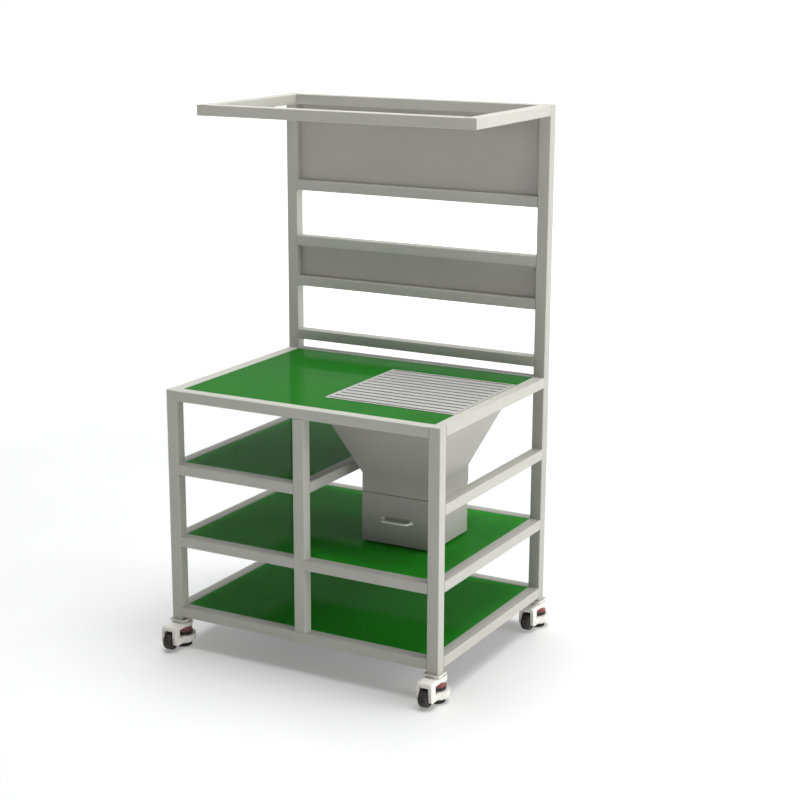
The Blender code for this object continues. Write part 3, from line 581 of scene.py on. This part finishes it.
def add_seam(bm, low, high, axis, place):
    """The dressed weld round a tube's end, just proud of the paint."""
    across, beside = (axis + 1) % 3, (axis + 2) % 3
    half = [(high[k] - low[k]) / 2 for k in (across, beside)]
    middle = [(high[k] + low[k]) / 2 for k in (across, beside)]
    rings = []
    for quarter in range(4):
        signs = ((1, 1), (-1, 1), (-1, -1), (1, -1))[quarter]
        pivot = [signs[k] * (half[k] - TUBE_CORNER) for k in (0, 1)]
        for step in range(CORNER_STEPS + 1):
            turn = math.pi / 2 * (quarter + step / CORNER_STEPS)
            outward = (math.cos(turn), math.sin(turn))
            ring = []
            for spoke in range(SEAM_SPOKES):
                angle = 2 * math.pi / SEAM_SPOKES * spoke
                out = TUBE_CORNER - SEAM_DEPTH + SEAM_RADIUS * math.cos(angle)
                point = Vector()
                point[across] = middle[0] + pivot[0] + outward[0] * out
                point[beside] = middle[1] + pivot[1] + outward[1] * out
                point[axis] = place + SEAM_RADIUS * math.sin(angle)
                ring.append(point)
            rings.append(ring)
    add_loft(bm, rings, closed=True)


def add_bead(bm, start, end, radius):
    """A fillet weld with ripples, in a corner between two tubes."""
    run = end - start
    along = run.normalized()
    side = along.orthogonal().normalized()
    up = along.cross(side)
    count = max(BEAD_LEAST_STEPS, round(run.length / BEAD_STEP))
    rings = []
    for step in range(count + 1):
        share = step / count
        taper = min(1, BEAD_END_SHARE + min(share, 1 - share) * count / 2)
        ripple = 1 + RIPPLE_SHARE * math.sin(2 * math.pi * run.length * share / RIPPLE_PITCH)
        grown = radius * taper * ripple
        ring = []
        for spoke in range(BEAD_SPOKES):
            angle = 2 * math.pi / BEAD_SPOKES * spoke
            outward = side * math.cos(angle) + up * math.sin(angle)
            ring.append(start + run * share + outward * grown)
        rings.append(ring)
    add_loft(bm, rings)


def weld_tube(bm, name, ends=(0, 1), corners=("low", "high")):
    """Weld the ends of a tube: a seam all round, and a fillet along the sides not flush.

    The fillets run across the flush faces, at the low and high side of the tube's section.
    """
    low, high, axis = tube_section(name)
    upright = axis == 2
    side = 0 if upright else 2
    run = 3 - axis - side
    for end in ends:
        place = high[axis] + JOINT_GAP / 2 if end else low[axis] - JOINT_GAP / 2
        add_seam(bm, low, high, axis, place)
        for corner in corners:
            start, stop = Vector(low), Vector(high)
            start[axis] = stop[axis] = place
            level = low[side] if corner == "low" else high[side]
            start[side] = stop[side] = level
            start[run] += TUBE_CORNER
            stop[run] -= TUBE_CORNER
            add_bead(bm, start, stop, BEAD_RADIUS)


def build_welds():
    """Welds of each level of the frame, of the middle legs and of the rack."""
    below, both = ("low",), ("low", "high")
    sides = ("front", "back", "left", "right")
    middle_sides = ("front_left", "front_right", "back", "left", "right")
    heights = ("low", "lower", "upper", "high")
    for name, start, words, corners, paint in (
            ("welds_top", "rail_top_", sides, below, PAINT),
            ("welds_upper", "rail_upper_", (*sides, "middle"), both, PAINT),
            ("welds_middle", "rail_middle_", middle_sides, both, PAINT),
            ("welds_bottom", "rail_bottom_", sides, both, PAINT),
            ("welds_middle_legs", "leg_", ("front_middle", "back_middle"), both, PAINT),
            ("welds_rack", "crossbar_", heights, both, RACK_PAINT_PAINTED_SHADE),
            ("welds_overhead", "overhead_", ("back",), below, PAINT)):
        bm = bmesh.new()
        for word in words:
            weld_tube(bm, start + word, corners=corners)
        add_piece(name, bm, paint, "table")

    bm = bmesh.new()
    for side in ("left", "right"):
        weld_tube(bm, f"overhead_{side}", ends=(1,), corners=("low",))
    low, high, axis = tube_section("overhead_front")
    for place in (low.x - JOINT_GAP / 2, high.x + JOINT_GAP / 2):
        add_seam(bm, low, high, axis, place)
        start = Vector((place, high.y, low.z + TUBE_CORNER))
        end = Vector((place, high.y, high.z - TUBE_CORNER))
        add_bead(bm, start, end, BEAD_RADIUS)
    add_piece("welds_overhead_arms", bm, PAINT, "table")


def build_plate_welds():
    """The fillet between each leg and its caster's plate."""
    half = TUBE_SIDE / 2 - TUBE_CORNER
    for leg in LEGS.values():
        middle = centre(leg)
        spot = Vector((middle.x, middle.y, PLATE_TOP))
        bm = bmesh.new()
        for quarter in range(4):
            turn = Matrix.Rotation(math.pi / 2 * quarter, 3, "Z")
            start = turn @ Vector((-half, -TUBE_SIDE / 2, 0))
            end = turn @ Vector((half, -TUBE_SIDE / 2, 0))
            add_bead(bm, spot + start, spot + end, BEAD_RADIUS)
        add_piece(f"plate_weld_{leg}", bm, PAINT, "table")


# Casters

def mirrored(side):
    """A closed profile of the near side's points and the same points on the far side."""
    return side + [(radius, -height) for radius, height in reversed(side)]


def build_wheel(corner):
    """A tyre with a crowned tread on a core with a hub."""
    low, high = box(f"caster_{corner}_wheel")
    where = facing((low + high) / 2, (1, 0, 0))
    radius, half = (high.z - low.z) / 2, (high.x - low.x) / 2
    bore = [(ring, inset - half) for ring, inset in in_metres(TYRE_BORE)]
    tread = [(radius - drop, inset - half) for drop, inset in in_metres(TREAD)]
    core = [(ring, inset - half) for ring, inset in in_metres(CORE)]
    body = f"caster_{corner}_wheel"
    for name, side, material in (("tyre", bore + tread, TREAD_RUBBER), ("core", core, BLACK_PLASTIC)):
        profile = rounded(mirrored(side), WHEEL_ROUNDING, 3)
        bm = bmesh.new()
        add_turned(bm, profile, WHEEL_STEPS, where, hollow=True)
        piece = add_piece(f"{name}_{corner}", bm, material, body)
        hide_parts(body)


def build_thumbwheel(corner):
    """A black grip with scallops, red from its upper half to the top of its collar."""
    node = f"caster_{corner}_thumbwheel"
    low, high = box(node)
    middle = (low + high) / 2
    where = facing((middle.x, middle.y, low.z), (0, 0, 1))
    radius, top = (high.x - low.x) / 2, high.z - low.z

    def scallop(turn, spread):
        """What a turn adds to a radius: nothing at the collar, and a hollow outside it."""
        if spread <= COLLAR_RADIUS:
            return 0
        return -SCALLOP_DEPTH / 2 * (1 - math.cos(turn * SCALLOP_COUNT))

    grip = [(BORE_RADIUS, 0), (radius, 0), (radius, BLACK_HEIGHT), (BORE_RADIUS, BLACK_HEIGHT)]
    groove = GRIP_HEIGHT + (top - GRIP_HEIGHT) / 2
    shoulder, valley = radius - COLLAR_STEP, COLLAR_RADIUS - GROOVE_DEPTH
    collar = [(BORE_RADIUS, BLACK_HEIGHT), (shoulder, BLACK_HEIGHT), (shoulder, GRIP_HEIGHT),
              (COLLAR_RADIUS, GRIP_HEIGHT + COLLAR_STEP), (COLLAR_RADIUS, groove - COLLAR_STEP),
              (valley, groove - GROOVE_HALF), (valley, groove + GROOVE_HALF),
              (COLLAR_RADIUS, groove + COLLAR_STEP), (COLLAR_RADIUS, top), (BORE_RADIUS, top)]
    for name, profile, material in (("grip", rounded(grip, GRIP_ROUNDING), BLACK_PLASTIC),
                                    ("collar", rounded(collar, COLLAR_ROUNDING, 3), RED)):
        bm = bmesh.new()
        add_turned(bm, profile, KNOB_STEPS, where, hollow=True, reach=scallop)
        piece = add_piece(f"{name}_{corner}", bm, material, node)
        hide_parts(node)


def build_foot(corner):
    """A rubber pad with a ribbed edge, and a plated spindle with a thread."""
    node = f"caster_{corner}_foot"
    low, high = box(node)
    middle = (low + high) / 2
    where = facing((middle.x, middle.y, low.z), (0, 0, 1))
    radius, top = (high.x - low.x) / 2, high.z - low.z
    pad = [(radius - drop, height) for drop, height in in_metres(PAD_EDGE)]
    bm = bmesh.new()
    add_turned(bm, pad + in_metres(PAD_CONE), WHEEL_STEPS, where)
    piece = add_piece(f"pad_{corner}", bm, RUBBER, node)
    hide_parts(node)

    thread = [(SPINDLE_RADIUS, PAD_RIM)]
    turns = int((top - PAD_RIM - THREAD_PITCH) / THREAD_PITCH)
    radii = (SPINDLE_RADIUS, SPINDLE_RADIUS - THREAD_DEPTH, SPINDLE_RADIUS)
    for turn in range(turns):
        start = PAD_RIM + THREAD_PITCH * (turn + 0.5)
        thread += [(ring, start + THREAD_PITCH * share) for ring, share in zip(radii, THREAD_FLANKS)]
    thread += [(SPINDLE_RADIUS, top - SPINDLE_CHAMFER), (SPINDLE_RADIUS - SPINDLE_CHAMFER, top)]
    bm = bmesh.new()
    add_turned(bm, thread, THREAD_STEPS, where)
    piece = add_piece(f"spindle_{corner}", bm, ZINC, node)
    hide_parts(node)


def build_axle(corner):
    """Rounded bolt heads at both ends of the axle, and the cover of the swivel race."""
    axle = centre(f"caster_{corner}_wheel")
    pivot = centre(LEGS[corner])
    bm = bmesh.new()
    for side in (-1, 1):
        place = Vector((pivot.x + side * ARM_REACH, axle.y, axle.z))
        add_turned(bm, in_metres(BOLT_HEAD), BOLT_STEPS, facing(place, (side, 0, 0)))
    add_piece(f"axle_heads_{corner}", bm, IVORY, f"caster_{corner}")

    bottom, top = RACE_BOTTOM + JOINT_GAP, RACE_TOP - JOINT_GAP
    cover = [(RACE_RADIUS, bottom), (RACE_COVER_RADIUS, bottom),
             (RACE_COVER_RADIUS, bottom + RACE_COVER_EDGE),
             (RACE_COVER_RADIUS - RACE_COVER_SLOPE, top), (RACE_RADIUS, top)]
    where = facing((pivot.x, pivot.y, 0), (0, 0, 1))
    bm = bmesh.new()
    add_turned(bm, rounded(cover, RACE_ROUNDING, 3), WHEEL_STEPS, where, hollow=True)
    add_piece(f"race_cover_{corner}", bm, IVORY, "table")


# Fixings

def add_dome(bm, place, direction, radius, height):
    """A low domed head."""
    profile = [(radius * across, height * up) for across, up in DOME]
    add_turned(bm, profile, DOME_STEPS, facing(place, direction))


def build_rivets():
    """Rivets that hold the drawer case in the duct, and the screws of the back panels."""
    low, high = box("drawer_case")
    level = high.z - RIVET_DROP
    rivets = []
    for x in (low.x + RIVET_INSET, high.x - RIVET_INSET):
        rivets.append(((x, low.y - RIVET_OUT, level), (0, -1, 0)))
        rivets.append(((x, high.y + RIVET_OUT, level), (0, 1, 0)))
    for y in (low.y + RIVET_INSET, high.y - RIVET_INSET):
        rivets.append(((low.x - RIVET_OUT, y, level), (-1, 0, 0)))
        rivets.append(((high.x + RIVET_OUT, y, level), (1, 0, 0)))
    bm = bmesh.new()
    for place, direction in rivets:
        add_dome(bm, Vector(place), direction, RIVET_RADIUS, RIVET_HEIGHT)
    add_piece("duct_rivets", bm, SHEET_PAINT_AND_PAINTED_SHADE, "table")

    for panel in ("back_panel_lower", "back_panel_upper"):
        low, high = box(panel)
        bm = bmesh.new()
        for x in (low.x + SCREW_INSET, 0, high.x - SCREW_INSET):
            for z in (low.z + SCREW_INSET, high.z - SCREW_INSET):
                add_dome(bm, Vector((x, low.y, z)), (0, -1, 0), SCREW_RADIUS, SCREW_HEIGHT)
        add_piece(f"screws_{panel}", bm, SHEET_PAINT_AND_PAINTED_SHADE, "table")


def build_rosettes():
    """A small rosette round each end of the drawer handle."""
    low, high = box("drawer_handle")
    level = (low.z + high.z) / 2
    front = box("drawer")[0].y
    profile = rounded(in_metres(ROSETTE), ROSETTE_ROUNDING, 3)
    bm = bmesh.new()
    for x in (low.x + ROD_RADIUS, high.x - ROD_RADIUS):
        where = facing((x, front, level), (0, -1, 0))
        add_turned(bm, profile, ROSETTE_STEPS, where, hollow=True)
    add_piece("handle_rosettes", bm, HANDLE_STEEL, "drawer")


# Floor, light and camera

def add_light(name, place, width, height, power):
    """A soft box that looks at the object and isn't mirrored in it."""
    light = bpy.data.lights.new(name, "AREA")
    light.shape = "RECTANGLE"
    light.size = width
    light.size_y = height
    light.energy = power
    item = bpy.data.objects.new(name, light)
    item.location = place
    ahead = Vector(LIGHT_TARGET) - Vector(place)
    item.rotation_euler = ahead.to_track_quat("-Z", "Y").to_euler()
    item.visible_glossy = False
    bpy.context.collection.objects.link(item)


def build_studio():
    """A pale floor, a white surround, and the lights on the right, above and on the left."""
    bm = bmesh.new()
    bmesh.ops.create_grid(bm, x_segments=FLOOR_CELLS, y_segments=FLOOR_CELLS, size=FLOOR_HALF)
    mesh = bpy.data.meshes.new("floor")
    bm.to_mesh(mesh)
    bm.free()
    mesh.materials.append(pale_floor("pale_floor"))
    floor = bpy.data.objects.new("floor", mesh)
    bpy.context.collection.objects.link(floor)

    world = bpy.data.worlds.new("studio")
    surround(world)
    bpy.context.scene.world = world

    for light in LIGHTS:
        add_light(*light)


def build_camera():
    """The photograph's camera."""
    camera = bpy.data.cameras.new("camera")
    camera.lens = CAMERA_LENS
    camera.sensor_width = CAMERA_SENSOR
    camera.shift_x = CAMERA_SHIFT
    camera.shift_y = CAMERA_SHIFT
    camera.clip_end = CAMERA_REACH
    item = bpy.data.objects.new("camera", camera)
    item.location = CAMERA_PLACE
    ahead = CAMERA_TARGET - CAMERA_PLACE
    item.rotation_euler = ahead.to_track_quat("-Z", "Y").to_euler()
    bpy.context.collection.objects.link(item)
    bpy.context.scene.camera = item
    bpy.context.scene.view_settings.view_transform = "Standard"


def finish_nodes():
    """Finishes of the CAD nodes."""
    for name in nodes:
        if name.startswith("leg_"):
            dress(name, LEG_PAINT)
        # Uprights and crossbars take the darker rack paint, a painted shade
        elif name.startswith(("upright_", "crossbar_")):
            dress(name, RACK_PAINT_PAINTED_SHADE)
        elif name.startswith(("rail_", "overhead_")):
            dress(name, PAINT)
        # Sheet parts take the sheet paint, which is darkened by a painted shade
        elif name.startswith("back_panel") or name in ("hopper", "drawer_case"):
            dress(name, SHEET_PAINT_AND_PAINTED_SHADE)
        elif name == "drawer":
            dress(name, SHEET_PAINT_AND_PAINTED_SHADE, SHEET_EDGE)
        elif name == "drawer_handle":
            dress(name, HANDLE_STEEL)
        elif name.startswith("grate"):
            dress(name, GRATE_PAINT)
        elif name == "worktop":
            dress(name, WORKTOP_LAMINATE, PANEL_EDGE)
        # The shelves take the lighter laminate, a painted light
        elif name.startswith("shelf_"):
            dress(name, SHELF_LAMINATE_PAINTED_LIGHT, PANEL_EDGE)
        elif name.endswith("_housing"):
            dress(name, IVORY)


finish_nodes()
build_welds()
build_plate_welds()
for corner in LEGS:
    build_wheel(corner)
    build_thumbwheel(corner)
    build_foot(corner)
    build_axle(corner)
build_rivets()
build_rosettes()
build_studio()
build_camera()
